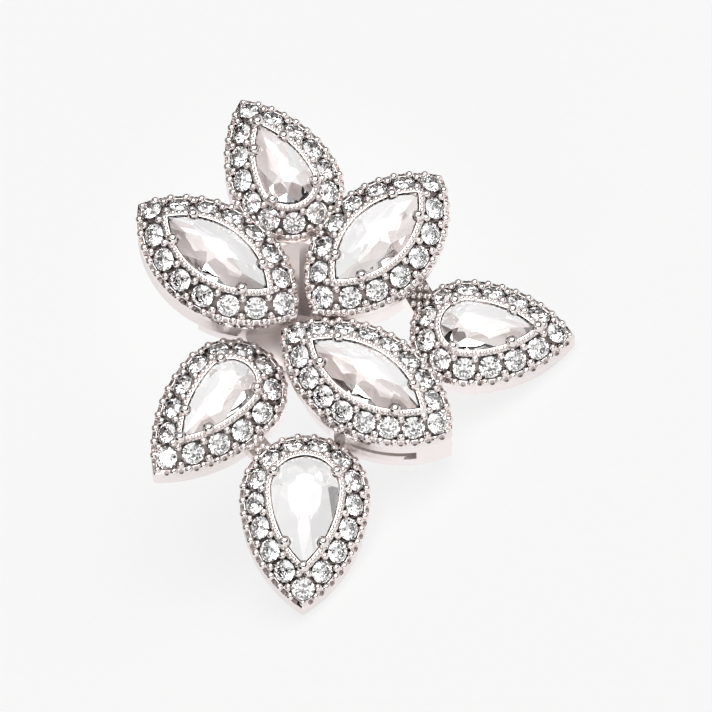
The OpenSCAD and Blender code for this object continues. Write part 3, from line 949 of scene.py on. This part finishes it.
# The stage: a pale light table under a white tent, with a large soft panel where the petals' faces mirror
# it to the viewer. Dim gaps in the tent give the metal and the stones their darks. The bare table looks
# nearly even because it is painted a little brighter behind the flower where the camera sees it, which lifts
# the flower's soft shadow, while the stones and the metal see a brighter patch of it there.
table_half = 3
patch_r, patch_end = 0.006, 0.0135
table_level, patch_level, seen_shadow_lift_level = 0.80, 1.03, 0.825


def grey(level):
    return (level, level, level, 1)


floor_mesh = bpy.data.meshes.new("floor")
corners = [(-1, -1), (1, -1), (1, 1), (-1, 1)]
floor_mesh.from_pydata([(x * table_half, y * table_half, 0) for x, y in corners], [], [(0, 1, 2, 3)])
floor = bpy.data.objects.new("floor", floor_mesh)
bpy.context.scene.collection.objects.link(floor)
paper, shader, place = new_finish("lit_table", Roughness=0.9, Specular_IOR_Level=0.1, Emission_Strength=1.0)
behind = to_eye * (Vector(cad_box[0]).z + Vector(cad_box[1]).z) / 2 / to_eye.z
offset = place.node("ShaderNodeVectorMath", {"operation": "ADD"}, {0: place, 1: (behind.x, behind.y, 0)})
offset = offset.stretched(1, to_eye.z, 1)
away = offset.node("ShaderNodeVectorMath", {"operation": "LENGTH"}, {0: offset}, out=1)
glow = away.ranged(patch_r, patch_end, 1.0, 0.0)
lit = glow.blend(grey(table_level), grey(patch_level))
# Painted light: the camera sees the table a little brighter behind the flower, which lifts its contact
# shadow.
bare = glow.blend(grey(table_level), grey(seen_shadow_lift_level))
place.node("ShaderNodeLightPath", {}, {}).blend(lit, bare).feeds(shader, "Emission Color")
place.noise(3000.0, detail=3.0).blend(grey(0.11), grey(0.13)).feeds(shader, "Base Color")
floor_mesh.materials.append(paper)

world = bpy.data.worlds.new("tent")
bpy.context.scene.world = world
world.use_nodes = True
light = world.node_tree.nodes["Background"]
way = Signal(world.node_tree.nodes.new("ShaderNodeTexCoord").outputs["Generated"])
height = way.node("ShaderNodeSeparateXYZ", {}, {0: way}, out=2)
bright = height.ranged(-0.1, 0.7, 0.3, 0.45, "LINEAR")


def patch(towards, start, full, level):
    """Factor that goes from 1 to level as a way's cosine to a direction goes from start to full."""
    facing = way.node("ShaderNodeVectorMath", {"operation": "DOT_PRODUCT"}, {
        0: way, 1: towards.normalized()}, out=1)
    return facing.ranged(start, full, 1.0, level)


# Each panel and gap: the way to it, the cosines from that way where it starts and is full, and its level.
mirrored = 2 * face.dot(to_eye) * face - to_eye
panels = [(mirrored, 0.80, 0.95, 9.0), (Vector((-0.3, -0.95, 0.1)), 0.80, 0.95, 4.0)]
dim_level = 0.04
dim_gaps = [
    (to_eye, 0.955, 0.985, dim_level),
    (Vector((-0.9, -0.35, 0.3)), 0.86, 0.93, dim_level),
    (Vector((0.75, -0.6, 0.2)), 0.90, 0.95, dim_level),
    (Vector((0.55, 0.55, 0.65)), 0.93, 0.97, dim_level),
    (Vector((-0.4, 0.7, 0.6)), 0.93, 0.97, dim_level),
]
for towards, start, full, level in panels + dim_gaps:
    bright = bright * patch(towards, start, full, level)
tent = way.node("ShaderNodeCombineColor", {}, {0: bright, 1: bright * 0.985, 2: bright * 0.98})
way.node("ShaderNodeLightPath", {}, {}).blend(tent, grey(0.93)).feeds(light, "Color")
light.inputs["Strength"].default_value = 1.0


def soft_light(name, place, size, power):
    """Round soft lamp that looks at the origin and isn't seen itself."""
    lamp = bpy.data.lights.new(name, "AREA")
    lamp.shape = "DISK"
    lamp.size = size
    lamp.energy = power
    made = bpy.data.objects.new(name, lamp)
    made.location = place
    made.rotation_mode = "QUATERNION"
    made.rotation_quaternion = Vector(place).to_track_quat("Z", "Y")
    made.visible_camera = False
    bpy.context.scene.collection.objects.link(made)


soft_light("key", (-0.45, -0.35, 0.6), size=0.16, power=0.3)
soft_light("fill", (0.6, -0.3, 0.45), size=0.12, power=0.1)

# The camera looks along the photograph's line of sight, rolled so that the flower stands as it does there,
# with the flower in the middle of the picture.
camera = bpy.data.objects.new("camera", bpy.data.cameras.new("camera"))
bpy.context.scene.collection.objects.link(camera)
bpy.context.scene.camera = camera
camera.data.lens = 900
distance = 0.90
right_way = (-to_eye).cross(flower_up).normalized()
up_way = right_way.cross(-to_eye)
low, high = (Vector(corner) for corner in cad_box)
aim = (low + high) / 2
for along in (right_way, up_way):
    spread = [v.co.dot(along) for v in setting.data.vertices]
    aim += along * ((min(spread) + max(spread)) / 2 - aim.dot(along))
camera.rotation_mode = "QUATERNION"
camera.rotation_quaternion = Matrix((right_way, up_way, to_eye)).transposed().to_quaternion()
camera.location = aim + to_eye * distance
camera.data.clip_start, camera.data.clip_end = 0.01, 20
bpy.context.scene.view_settings.view_transform = "Standard"
